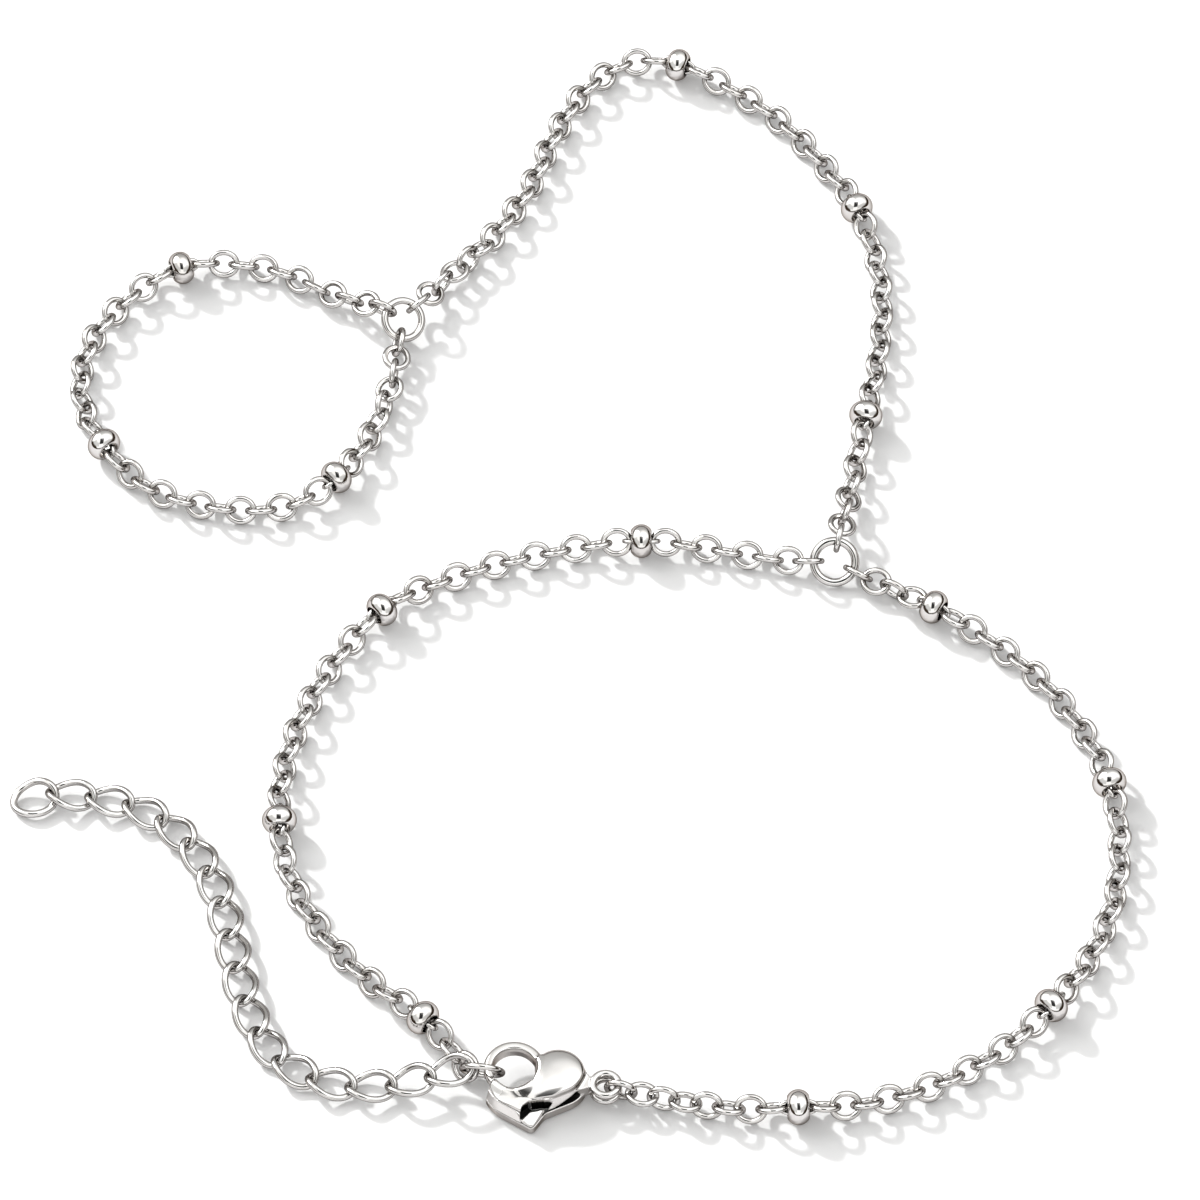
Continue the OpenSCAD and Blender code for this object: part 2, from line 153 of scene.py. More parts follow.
def polished_steel(name, tone, rough, edge, streaks=1.0):
    """Polished steel: faint mottling of tone, hairline polishing marks, and a finish that
    is a little duller in patches. Rough is the roughness of the clearest places. Edge is the
    tint of the film, which darkens the metal most where it turns away. Painted shade: the
    colour goes to nearly black, and the finish rougher, as the shade attribute of the piece
    goes to 1, which it does where shade falls in slits, seams and pockets."""
    material = bpy.data.materials.new(name)
    tree = Tree(material)
    shader = tree.nodes["Principled BSDF"]
    place = tree.add("TexCoord", None, None)[3]
    mottle = tree.add("TexNoise", None, {"Vector": place, "Scale": MOTTLE_SCALE, "Detail": 3.0})[0]
    stretched = tree.add(
        "Mapping", None, {"Vector": place, "Rotation": (0.3, 0.2, 0.6), "Scale": (1.0, 9.0, 3.0)}
    )[0]
    marks = tree.add(
        "TexNoise", None, {"Vector": stretched, "Scale": MARKS_SCALE, "Detail": 2.0}
    )[0]
    dull = mottle.between(0.5, 0.72)
    light = grey(tone)
    shade = grey(tone * 0.9, 0.012)
    colour = tree.add(
        "Mix", {"data_type": "RGBA"}, {"Factor": mottle.between(0.38, 0.7), 6: light, 7: shade}
    )[0]
    # Painted shade: the shade attribute darkens the colour to near black in slits, seams and
    # pockets, where shade falls
    painted_shade = tree.add("Attribute", {"attribute_name": "shade"}, None)[2]
    colour = tree.add(
        "Mix", {"data_type": "RGBA"}, {"Factor": painted_shade, 6: colour, 7: grey(PAINTED_SHADE_GREY)}
    )[0]
    bump = tree.add(
        "Bump", None,
        {"Strength": 0.06 * streaks, "Distance": MARKS_DEPTH, "Height": marks * 0.6 + mottle},
    )[0]
    tree.feed(shader, {
        **FILM,
        "Coat Tint": grey(edge, 0.015),
        "Base Color": colour,
        "Metallic": 1.0,
        "Specular Tint": GLANCING_TINT,
        "Roughness": dull * 0.03 + marks * 0.02 + painted_shade * 0.4 + rough,
        "Normal": bump,
    })
    return material


# The card's colour, and the whiter colour that the metal mirrors: a painted brighter reflection of
# the card
CARD = (0.93, 0.93, 0.925, 1)
CARD_IN_METAL = (1.0, 0.985, 0.99, 1)


def table_top():
    """Matt white card with a very faint tooth, painted a little whiter where the metal mirrors it.
    """
    material = bpy.data.materials.new("white_card")
    tree = Tree(material)
    shader = tree.nodes["Principled BSDF"]
    place = tree.add("TexCoord", None, None)[3]
    tooth = tree.add("TexNoise", None, {"Vector": place, "Scale": 900.0, "Detail": 2.0})[0]
    bump = tree.add("Bump", None, {"Strength": 0.02, "Distance": 0.00002, "Height": tooth})[0]
    # Painted reflection: where the metal mirrors the card, the card is whiter than it is
    mirrored = tree.add("LightPath", None, None)[3]
    card = tree.add(
        "Mix", {"data_type": "RGBA"}, {"Factor": mirrored, 6: CARD, 7: CARD_IN_METAL}
    )[0]
    tree.feed(shader, {
        "Base Color": card,
        "Roughness": 0.75,
        "Specular IOR Level": 0.15,
        "Normal": bump,
    })
    return material


# Directions of the lamps that the metal mirrors, the edge of each between dark and light as
# cosines, and its power: a hot lamp upper left, and a weak wide one at the right
LAMPS = (
    (Vector((-0.62, 0.42, 0.66)).normalized(), (0.9, 0.98), 3.5),
    (Vector((0.45, 0.2, 0.87)).normalized(), (0.7, 1.0), 0.5),
)
# Brightness of what the metal mirrors, and of the even light on the table
PANELS = 1.55
AMBIENT = 0.655
SUN_WAY = Vector((-2.57, 2.75, 2.2))
SUN_POWER = 2.72
SUN_SPREAD = math.radians(4)


def studio():
    """The studio round the table. The table gets an even light. The metal mirrors white walls,
    which darken towards the back and a little to the right, and a dark strip along the
    horizon, which stands higher at the right and at the left behind. In front, high up, it
    mirrors a narrow dark stand, with a grey band on both sides of its foot, and overhead the
    lamps. Each mask is a product of smooth steps over the direction x, y, z."""
    world = bpy.data.worlds.new("studio")
    bpy.context.scene.world = world
    tree = Tree(world)
    way = tree.add("TexCoord", None, None)[0]
    x, y, z = tree.add("SeparateXYZ", None, {0: way})
    aside = x.math("ABSOLUTE")
    walls = 1.1 - y.between(0.1, 0.9) * 0.62 - x.between(0.2, 0.9) * 0.12
    left_behind = (0 - x).between(0.4, 0.7) * (1 - y.between(0.0, 0.3))
    strip_top = (x.between(0.45, 0.8) + left_behind) * 0.22
    strip = 1 - (z - strip_top).between(0.05, 0.22)
    stand = (1 - aside.between(0.22, 0.27)) * (1 - y.between(-0.12, -0.06))
    stand = stand * z.between(0.6, 0.64)
    bands = aside.between(0.18, 0.32) * (1 - y.between(-0.1, 0.1))
    bands = bands * z.between(0.25, 0.4) * (1 - z.between(0.66, 0.82)) * 0.42
    walls = walls * (1 - strip * 0.98)
    walls = walls * (1 - stand.math("MAXIMUM", bands) * 0.97)
    lamps = 0
    for lamp_way, edge, power in LAMPS:
        near_lamp = tree.add("VectorMath", {"operation": "DOT_PRODUCT"}, {0: way, 1: lamp_way})[0]
        lamps = near_lamp.between(*edge) * power + lamps
    red = walls + strip * 0.02 + lamps
    green = walls + strip * 0.008 + lamps
    blue = walls * 0.985 + lamps
    metal = tree.add("CombineColor", None, {0: red, 1: green, 2: blue})[0]
    metal = tree.add("VectorMath", {"operation": "SCALE"}, {0: metal, 3: PANELS})[0]
    camera_ray, _, diffuse_ray = tree.add("LightPath", None, None)[:3]
    light = tree.add(
        "Mix", {"data_type": "RGBA"}, {"Factor": diffuse_ray, 6: metal, 7: grey(AMBIENT)}
    )[0]
    shown = tree.add(
        "Mix", {"data_type": "RGBA"}, {"Factor": camera_ray, 6: light, 7: grey(1.0)}
    )[0]
    tree.feed(tree.nodes["Background"], {"Color": shown, "Strength": 1.0})


# The table, as wide as this, in metres, lies just under the thickest wires
TABLE_SIDE = 3.0
TABLE_TOP = -0.00008


def place_studio():
    """The studio's light, a sun from the upper left behind, and the table."""
    scene = bpy.context.scene
    scene.view_settings.view_transform = "Standard"
    studio()
    sun = bpy.data.objects.new("key_light", bpy.data.lights.new("key_light", "SUN"))
    sun.data.energy = SUN_POWER
    sun.data.angle = SUN_SPREAD
    sun.rotation_euler = SUN_WAY.to_track_quat("Z", "Y").to_euler()
    scene.collection.objects.link(sun)
    corners = np.array([(-1, -1, 0), (1, -1, 0), (1, 1, 0), (-1, 1, 0)]) * TABLE_SIDE / 2
    points = (corners + [0, 0, TABLE_TOP]) / MM - MIDDLE
    make_mesh("table", points, np.arange(4)[None], table_top())


# ---------------------------------------------------------------- meshes

def make_mesh(name, points, faces, material, levels=0, shade=None):
    """A piece at the origin with smooth faces, subdivided as many times as levels. Points are
    millimetres from the middle. Shade is the painted shade of each point, from 0 to 1, which
    darkens the steel where shade falls in a recess."""
    mesh = bpy.data.meshes.new(name)
    mesh.from_pydata(((points + MIDDLE) * MM).tolist(), [], faces.tolist())
    mesh.polygons.foreach_set("use_smooth", np.ones(len(mesh.polygons), bool))
    mesh.materials.append(material)
    if shade is not None:
        mesh.attributes.new("shade", "FLOAT", "POINT").data.foreach_set("value", shade)
    mesh.update()
    piece = bpy.data.objects.new(name, mesh)
    bpy.context.scene.collection.objects.link(piece)
    if levels:
        finer = piece.modifiers.new("finer", "SUBSURF")
        finer.levels = finer.render_levels = levels
    return piece


def dress(piece, slot, body, *nodes):
    """Puts a piece on a body in place of its nodes; the slot is not used."""
    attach(piece, body)
    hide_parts(*nodes)


def joined_rows(rows, columns):
    """Faces of a closed tube: point [row, column] is number row * columns + column, and both
    the last row and the last column join the first."""
    row, column = np.meshgrid(np.arange(rows), np.arange(columns), indexing="ij")
    next_row, next_column = (row + 1) % rows, (column + 1) % columns
    corners = [(row, column), (next_row, column), (next_row, next_column), (row, next_column)]
    return np.stack([r * columns + c for r, c in corners], -1).reshape(-1, 4)


def swell(count):
    """How much larger a ring of control points is than the ring that one step of
    subdivision makes of it: 4 / (3 + cos(turn between two points))."""
    return 4 / (3 + math.cos(ROUND / count))


def unit(v):
    return v / np.linalg.norm(v, axis=-1, keepdims=True)


def wire_loop(line, face, radius, sides):
    """Round wire along a closed line: at each point of the line, points
    line + radius * (cos t * out + sin t * up), where up is the face direction made square
    to the line, and out is square to both."""
    along = unit(np.roll(line, -1, 0) - np.roll(line, 1, 0))
    up = unit(face - (face * along).sum(-1, keepdims=True) * along)
    out = np.cross(along, up)
    t = np.arange(sides) * ROUND / sides
    circle = np.cos(t)[None, :, None] * out[:, None] + np.sin(t)[None, :, None] * up[:, None]
    return line[:, None] + radius * swell(sides) * circle


def oval_loop(length, width, wire, steps, sides, flatten=0.0):
    """A link: the oval (length / 2 * cos a, width / 2 * sin a) of its wire's middle line, with
    its bars pulled a little straight by flatten * sin(3a)."""
    a = np.arange(steps) * ROUND / steps
    size = swell(steps) / 2
    x = (length - wire) * size * np.cos(a)
    y = (width - wire) * size * (np.sin(a) + flatten * np.sin(3 * a))
    line = np.stack([x, y, 0 * a], -1)
    face = np.tile([0.0, 0.0, 1.0], (steps, 1))
    return wire_loop(line, face, wire / 2, sides)


def curb_loop(length, width, wire, twist, steps, sides, far=1):
    """A curb link: an oval whose width is turned about its length. Where near is
    (1 + cos a) / 2 at the near end, the turn is twist * (far * near - (1 - near) ^ (2 - far)),
    so that the two ends lean opposite ways, or only the far one where far is 0."""
    a = np.arange(steps) * ROUND / steps
    size = swell(steps) / 2
    near = (1 + np.cos(a)) / 2
    turn = twist * (far * near - (1 - near) ** (2 - far))
    y = (width - wire) * size * np.sin(a)
    line = np.stack([(length - wire) * size * np.cos(a), y * np.cos(turn), y * np.sin(turn)], -1)
    face = np.stack([0 * a, -np.sin(turn), np.cos(turn)], -1)
    return wire_loop(line, face, wire / 2, sides)


def repeated(loop, places):
    """Copies of one loop of wire at many places, each a middle and three axes."""
    rows, columns, _ = loop.shape
    shape = loop.reshape(-1, 3)
    points = np.concatenate([middle + shape @ axes for middle, axes in places])
    faces = joined_rows(rows, columns)
    starts = np.arange(len(places)) * len(shape)
    return points, (faces[None] + starts[:, None, None]).reshape(-1, 4)


# ---------------------------------------------------------------- where the CAD has its links

def triangles_of(node):
    """Corners of a node's triangles, in millimetres from the middle: (triangle, corner, xyz)."""
    mesh = node.data
    mesh.calc_loop_triangles()
    co = np.empty(len(mesh.vertices) * 3)
    mesh.vertices.foreach_get("co", co)
    corner = np.empty(len(mesh.loop_triangles) * 3, int)
    mesh.loop_triangles.foreach_get("vertices", corner)
    return co.reshape(-1, 3)[corner].reshape(-1, 3, 3) / MM - MIDDLE


def part_numbers(corners):
    """Number of the separate solid that each triangle belongs to. Every corner starts with a
    label of its own, and the smaller label wins along each triangle until nothing changes."""
    rounded = np.round(corners.reshape(-1, 3) * 1e4).astype(np.int64) + (1 << 20)
    key = (rounded[:, 0] << 42) + (rounded[:, 1] << 21) + rounded[:, 2]
    point = np.unique(key, return_inverse=True)[1].reshape(-1, 3)
    label = np.arange(point.max() + 1)
    while True:
        low = label[point].min(1)
        new = label.copy()
        for k in range(3):
            np.minimum.at(new, point[:, k], low)
            np.minimum.at(new, label[point[:, k]], low)
        new = new[new]
        if (new == label).all():
            return np.unique(label[point[:, 0]], return_inverse=True)[1]
        label = new


def solid_places(node):
    """Middle, axes and size of each separate solid of a node. The middle is the mean of its
    surface, and the axes are those of the spread of that surface, longest first:
    the sum over the triangles of area * (a a' + b b' + c c' + (a + b + c)(a + b + c)') / 12."""
    corners = triangles_of(node)
    number = part_numbers(corners)
    found = []
    for k in range(number.max() + 1):
        part = corners[number == k]
        area = np.linalg.norm(np.cross(part[:, 1] - part[:, 0], part[:, 2] - part[:, 0]), axis=1)
        middle = (part.mean(1) * area[:, None]).sum(0) / area.sum()
        part = part - middle
        whole = part.sum(1)
        spread = np.einsum("t,tci,tcj->ij", area, part, part)
        spread += np.einsum("t,ti,tj->ij", area, whole, whole)
        axes = np.linalg.eigh(spread)[1][:, ::-1].T
        axes[2] = np.cross(axes[0], axes[1])
        reach = part.reshape(-1, 3) @ axes.T
        found.append((middle, axes, reach.max(0) - reach.min(0)))
    return found


# The links, and the two ends of the rounder one at the free end, where the CAD has them
LINK = dict(length=2.28, width=2.04, wire=0.42, steps=16, sides=6)
CARRIER = dict(length=2.69, width=1.18, wire=0.3, steps=16, sides=6, flatten=0.1)
CURB = dict(length=3.52, width=2.44, wire=0.45, twist=math.radians(36), steps=24, sides=8)
END_LINK = dict(length=3.4, width=2.78, wire=0.5, twist=math.radians(40), steps=24, sides=8, far=0)
END_NEAR = np.array([-36.28, -16.33, 0.77])
END_FAR = np.array([-38.53, -16.89, 0.33])
# A link wider than this is a wide one
WIDE = 1.5


def cable_chain(node, material):
    """The wide oval links, and the narrow ones that carry the beads."""
    places = solid_places(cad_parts[node])
    wide = [(m, a) for m, a, size in places if size[1] > WIDE]
    narrow = [(m, a) for m, a, size in places if size[1] <= WIDE]
    points, faces = repeated(oval_loop(**LINK), wide)
    more, more_faces = repeated(oval_loop(**CARRIER), narrow)
    faces = np.concatenate([faces, more_faces + len(points)])
    points = np.concatenate([points, more])
    dress(make_mesh(node + "_links", points, faces, material, 1), "chain", "chain", node)


def curb_chain(node, material):
    """The twisted links of the extender."""
    places = [(m, a) for m, a, size in solid_places(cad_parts[node])]
    points, faces = repeated(curb_loop(**CURB), places)
    dress(make_mesh(node + "_links", points, faces, material, 1), "extender", "chain", node)


def end_link(node, material):
    """The rounder link at the free end, between its crossing with the last curb link and its
    far side, with its width level."""
    along = unit(END_FAR - END_NEAR)
    across = unit(np.array([-along[1], along[0], 0]))
    axes = np.stack([along, across, np.cross(along, across)])
    points, faces = repeated(curb_loop(**END_LINK), [((END_NEAR + END_FAR) / 2, axes)])
    dress(make_mesh(node + "_wire", points, faces, material, 1), "rings", "chain", node)


# ---------------------------------------------------------------- rings and beads

RING_STEPS = 40
RING_SIDES = 10


def round_ring(node, wire, material):
    """A ring of round wire, as wide as the node and in its plane."""
    (middle, axes, size), = solid_places(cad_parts[node])
    loop = oval_loop(size[0], size[0], wire, RING_STEPS, RING_SIDES)
    points, faces = repeated(loop, [(middle, axes)])
    dress(make_mesh(node + "_wire", points, faces, material, 1), "rings", "chain", node)


BEAD = dict(diameter=2.31, bulge=0.82, bore=1.34)
BEAD_STEPS = 40
RIM = 0.05


def bead_profile(diameter, bulge, bore):
    """Closed outline of a bead as [place along the bore, distance from it]: a circle of radius
    bulge outside, the bore inside, and a small round rim between them."""
    centre = diameter / 2 - bulge
    inner = bore / 2
    rim_out = math.sqrt((bulge - RIM) ** 2 - (inner + RIM - centre) ** 2)
    start = math.atan2(inner + RIM - centre, rim_out)
    a = np.linspace(start, math.pi - start, 15)
    outside = np.stack([bulge * np.cos(a), centre + bulge * np.sin(a)], -1)
    b = np.linspace(start, -math.pi / 2, 4)[1:]
    rim = np.stack([rim_out + RIM * np.cos(b), inner + RIM + RIM * np.sin(b)], -1)
    left = rim[::-1] * [-1, 1]
    across = np.array([[-rim_out / 3, inner], [rim_out / 3, inner]])
    return np.concatenate([outside, left, across, rim[::-1]])


def bead(node, material):
    """The bead's profile turned round its bore. The CAD bead's shortest way is its bore."""
    (middle, axes, size), = solid_places(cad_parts[node])
    profile = bead_profile(**BEAD)
    t = np.arange(BEAD_STEPS)[:, None] * ROUND / BEAD_STEPS
    along, away = profile.T
    away = away * swell(BEAD_STEPS)
    loop = np.stack([away * np.cos(t), away * np.sin(t), along + 0 * t], -1)
    points, faces = repeated(loop[:, ::-1], [(middle, axes)])
    dress(make_mesh(node + "_shell", points, faces, material, 1), "beads", "chain", node)


# ---------------------------------------------------------------- clasp

# Where the hook bends round, seen from above
HOOK_CENTRE = [-5.5, -38.3]
# Right lobe, nose, belly and tip of the heart, and the hook's hole, as [centre, radius]
DOME_LOBE = ([-2.66, -38.75], 1.85)
NOSE = ([-4.3, -41.05], 0.45)
BELLY = ([-5.05, -38.95], 2.5)
TIP = ([-4.42, -41.85], 0.35)
HOLE = ([-5.53, -38.4], 1.39)
# Outline of the domed part of the heart's face
DOME_FOOT = (([-2.66, -38.73], 1.79), ([-4.4, -40.0], 0.73))
# The dome's two pillows, as middle, reach and rise
PILLOWS = (([-2.68, -38.73, 1.5], 1.82, 0.85), ([-4.1, -39.8, 1.5], 1.1, 0.5))
# The low ball that crowns the face over the tip
CROWN = ([-4.3, -40.2, -3.22], 5.1)
# Radius of the middle line of the hook and of the ridge that carries it on, and half its width
HOOK_BEND = 1.66
RIDGE_BEND = 1.67
HALF_HOOK = 0.3
# The hook's first and last angle round its centre, and how far from the pivot it ends
HOOK_SPAN = (-35, 240)
HOOK_END = 2.9
# The lever's pin, and round it, as reach, first and last angle, the gate, the arm, and the
# rooms in which the gate, the arm and the thumb tab swing
PIVOT = [-4.75, -41.35]
PIN_RADIUS = 0.2
PIN_SPAN = (0.12, 0.9)
PIN_ROOM = 0.71
GATE = (2.86, 118, 235)
ARM = (1.97, 128, 236)
GATE_ROOM = (3.7, 118, 235)
ARM_ROOM = (1.93, 62, 120)
TAB_ROOM = (2.15, -110, -35)
# The lever's bar, from the pin to a point on the heart's side
BAR = ((PIVOT, 0.5), ([-6.02, -40.07], 0.34))
# Where the gate starts and the toe under it ends, from the pivot; they overlap unseen
GATE_START = 1.9
TOE_END = 1.94
# Heights of the pocket between the plates, of the lever in it, of the tab's middle, of the
# rim and of the hook
POCKET = [0.705, 1.51]
LEVER = [0.775, 1.455]
TAB_HIGH = 1.06
TAB_SLOPE = 0.18
RIM_HIGH = 1.6
HOOK_HIGH = [0.9, 1.95]
# The double eye: its middle, the radius of its rings' middle line, half its wire, and half
# the step from ring to ring
EYE = [0.36, -39.3, 1.0]
EYE_BEND = 0.83
EYE_WIRE = 0.24
EYE_STEP = 0.33


def disc(p, centre, radius):
    """Distance from a disc, seen from above."""
    return np.hypot(p[..., 0] - centre[0], p[..., 1] - centre[1]) - radius


def ball(p, centre, radius):
    """Distance from a ball."""
    return np.linalg.norm(p - np.array(centre), axis=-1) - radius


def drop(p, large, small):
    """Distance from two discs and what lies between their outer tangents: the distance from
    the nearer disc beyond its tangent points, and from the tangent between them."""
    (c, r0), (d, r1) = large, small
    way = np.array(d) - c
    length = np.hypot(*way)
    along = way / length
    q = p[..., :2] - c
    y = q @ along
    x = np.abs(q @ np.array([-along[1], along[0]]))
    taper = (r0 - r1) / length
    rise = math.sqrt(1 - taper * taper)
    k = rise * y - taper * x
    side = rise * x + taper * y - r0
    far = np.where(k > rise * length, np.hypot(x, y - length) - r1, side)
    return np.where(k < 0, np.hypot(x, y) - r0, far)


def slab(p, low, high):
    """Distance from the layer between two heights."""
    return np.abs(p[..., 2] - (low + high) / 2) - (high - low) / 2


def beyond(p, point, angle):
    """Distance before a line from the point at that angle, less than 0 on its left."""
    a = math.radians(angle)
    return (p[..., 0] - point[0]) * math.sin(a) - (p[..., 1] - point[1]) * math.cos(a)


def both(a, b, soft=0.04):
    """What lies in both solids: the larger distance, plus h * h * soft / 4 where h falls from
    1 to 0 as the two part by soft, which rounds the edge where they meet."""
    h = np.maximum(soft - np.abs(a - b), 0) / soft
    return np.maximum(a, b) + h * h * soft / 4


def either(a, b, soft=0.04):
    """What lies in one solid or the other, with a soft inner corner between them."""
    return -both(-a, -b, soft)


def without(a, b, soft=0.04):
    """The first solid less the second."""
    return both(a, -b, soft)


def sector(p, radius, start, end):
    """Part of a disc round the pivot, between two angles less than half a turn apart."""
    wedge = np.maximum(beyond(p, PIVOT, start), -beyond(p, PIVOT, end))
    return np.maximum(disc(p, PIVOT, radius), wedge)


def ring_bar(p, centre, radius, half_wide, low, high):
    """An upright band round a centre with a fully rounded section: the distance from the
    stadium of radius half_wide between the heights low and high."""
    middle = (low + high) / 2
    reach = (high - low) / 2 - half_wide
    q = disc(p, centre, radius)
    return np.hypot(q, np.maximum(np.abs(p[..., 2] - middle) - reach, 0)) - half_wide


def polygon(p, corners):
    """Distance from a convex outline given anticlockwise: the largest distance outside a side."""
    corners = np.array(corners)
    way = np.roll(corners, -1, 0) - corners
    out = unit(np.stack([way[:, 1], -way[:, 0]], -1))
    return ((p[..., None, :2] - corners) * out).sum(-1).max(-1)


def pillow(p, centre, reach, rise, power=2.6):
    """Near distance from a pillow: r to the power plus height to the power is 1, where r is
    the distance from its middle over its reach, and height is over its rise."""
    q = p - np.array(centre)
    r = np.hypot(q[..., 0], q[..., 1]) / reach
    return ((r ** power + np.abs(q[..., 2] / rise) ** power) ** (1 / power) - 1) * rise


def ramp(value, low, high):
    """0 below low, 1 above high, and a smooth step between them."""
    t = np.clip((value - low) / (high - low), 0, 1)
    return t * t * (3 - 2 * t)


def lean(p):
    """How far the heart's side stands back at a height: it leans in evenly above the back
    plate, and 0.4 times as much on the far side."""
    climb = np.clip((p[..., 2] - 0.76) / 0.8, 0, 1.1)
    return 0.3 * climb * (1 - 0.6 * ramp(p[..., 1], -39.5, -38.3))


def face_top(p):
    """The heart's front face as an upper bound: a flat rim, a low crown over the tip, a round
    ridge that carries the hook on round its hole, and the dome of the right lobe. The dome
    stands crisp on the rim, and flows into the ridge near the hole."""
    crown = either(p[..., 2] - RIM_HIGH, ball(p, *CROWN), 0.3)
    ridge = ring_bar(p, HOOK_CENTRE, RIDGE_BEND, HALF_HOOK, -1, HOOK_HIGH[1])
    crown = either(crown, ridge, 0.6)
    dome = either(pillow(p, *PILLOWS[0]), pillow(p, *PILLOWS[1]), 0.6)
    dome = both(dome, drop(p, *DOME_FOOT), 0.04)
    near_hole = 1 - ramp(disc(p, *HOLE), 0.2, 1.1)
    return either(crown, dome, 0.03 + 0.45 * near_hole)


def casting(p, outline, foot=0.14):
    """A solid of this outline under the front face, with a round foot."""
    return both(both(outline, -p[..., 2], foot), face_top(p), 0.07)


def bored(p, solid):
    """Cuts the hook's hole, crisp at the hook and with a full round lip on the heart's side."""
    lip = ramp(p[..., 0] - p[..., 1], 32.7, 34.4)
    return without(solid, disc(p, *HOLE), 0.08 + 0.35 * lip)


def recess(p):
    """The opening in the front plate over the thumb tab, seen from above."""
    left = polygon(p, [
        [-5.15, -43], [-3.75, -43], [-3.65, -41.3], [-3.6, -40.72], [-3.83, -40.73], [-4.6, -40.86],
        [-4.98, -41.15], [-5.08, -41.45]
    ])
    right = polygon(p, [[-3.7, -41.3], [-3.03, -40.68], [-3.7, -40.76]])
    return np.minimum(left, right)


def tab_outline(p):
    """The thumb tab, seen from above."""
    return polygon(p, [
        [-5.02, -41.75], [-4.8, -42.3], [-4.2, -42.3], [-3.5, -41.35], [-3.55, -41.0],
        [-4.47, -41.19]
    ])


def pocket(p):
    """What the lever sweeps between the plates, seen from above."""
    arm = np.minimum(sector(p, *GATE_ROOM), sector(p, *ARM_ROOM))
    tab = np.minimum(recess(p), sector(p, *TAB_ROOM))
    return np.minimum(np.minimum(arm, tab), disc(p, PIVOT, PIN_ROOM))


def side_slit(p):
    """Slit along the lower right side, thin at the tip and a wedge at the eye: outside the
    outline drawn in, between the back plate and a top that climbs towards the eye."""
    inner = drop(p, (DOME_LOBE[0], DOME_LOBE[1] - 0.45), (NOSE[0], NOSE[1] - 0.35))
    side = polygon(p, [[-4.5, -44], [-0.5, -44], [-0.75, -39.2], [-4.5, -39.2]])
    top = 0.93 + 0.56 * ramp(p[..., 0], -3.1, -1.0)
    height = np.maximum(POCKET[0] + 0.08 - p[..., 2], p[..., 2] - top)
    return np.maximum(np.maximum(side, -inner), height)


def hook(p):
    """The hook: a band round its centre, with a full round outer shoulder and a crisp inner one."""
    q = disc(p, HOOK_CENTRE, HOOK_BEND)
    w = p[..., 2] - sum(HOOK_HIGH) / 2
    corner = np.where(q > 0, 0.29, 0.16)
    x = np.abs(q) - HALF_HOOK + corner
    y = np.abs(w) - (HOOK_HIGH[1] - HOOK_HIGH[0]) / 2 + corner
    band = np.hypot(np.maximum(x, 0), np.maximum(y, 0)) + np.minimum(np.maximum(x, y), 0) - corner
    start, end = HOOK_SPAN
    span = np.minimum(beyond(p, HOOK_CENTRE, start), -beyond(p, HOOK_CENTRE, end))
    return without(both(band, span, 0.1), disc(p, PIVOT, HOOK_END), 0.02)


def eye_rings(p):
    """Two rings of round wire, one over the other, on a neck that grows out of the lobe."""
    q = disc(p, EYE[:2], EYE_BEND)
    high = np.hypot(q, p[..., 2] - EYE[2] - EYE_STEP) - EYE_WIRE
    low = np.hypot(q, p[..., 2] - EYE[2] + EYE_STEP) - EYE_WIRE
    root = drop(p, ([-1.5, -39.0], 0.8), ([EYE[0] - EYE_BEND, EYE[1]], 0.2))
    neck = np.maximum(root, slab(p, EYE[2] - EYE_STEP - 0.15, EYE[2] + EYE_STEP + 0.15))
    return either(either(high, low, 0.05), np.maximum(neck, 0.75 - disc(p, EYE[:2], 0)), 0.08)


def clasp_body(p):
    """The heart: a domed lobe over a back plate, a hook round the hole, and the double eye."""
    toe = both(drop(p, BELLY, TIP) + lean(p), disc(p, PIVOT, TOE_END), 0.006)
    body = casting(p, either(drop(p, DOME_LOBE, NOSE) + lean(p), toe, 0.12))
    body = bored(p, either(body, hook(p), 0.2))
    body = without(body, np.maximum(pocket(p), slab(p, *POCKET)), 0.02)
    body = without(body, np.maximum(recess(p), POCKET[0] - p[..., 2]), 0.03)
    body = without(body, side_slit(p), 0.03)
    return either(body, eye_rings(p), 0.2)


def clasp_lever(p):
    """The lever: a flat arm that fills the side between the plates, a thumb tab that slopes to
    the tip, and the gate, which carries the front face on to the hook."""
    side = drop(p, BELLY, TIP) + lean(p)
    gate = bored(p, casting(p, np.maximum(side, sector(p, *GATE))))
    gate = without(gate, disc(p, PIVOT, GATE_START), 0.006)
    for low, high in ((POCKET[0], LEVER[0]), (LEVER[1], POCKET[1])):
        gate = without(gate, np.maximum(-side - 0.1, slab(p, low, high)), 0.02)
    gate = both(gate, 0.12 - p[..., 2], 0.1)
    arm = np.minimum(np.maximum(side, sector(p, *ARM)), drop(p, *BAR))
    arm = both(arm, slab(p, *LEVER), 0.03)
    arm = without(arm, np.maximum(recess(p) - 0.03, 0.95 - p[..., 2]), 0.02)
    outline = np.minimum(side, drop(p, DOME_LOBE, NOSE) + lean(p))
    tab = both(np.maximum(outline + 0.03, recess(p) + 0.04), tab_outline(p), 0.08)
    slope = p[..., 2] - TAB_HIGH - TAB_SLOPE * (p[..., 1] + 41.2)
    tab = both(both(tab, LEVER[0] - p[..., 2], 0.03), slope, 0.05)
    return either(either(arm, tab, 0.03), gate, 0.03)


def pin_shank(p):
    """The pin: a short cylinder with rounded ends."""
    return both(disc(p, PIVOT, PIN_RADIUS), slab(p, *PIN_SPAN), 0.06)


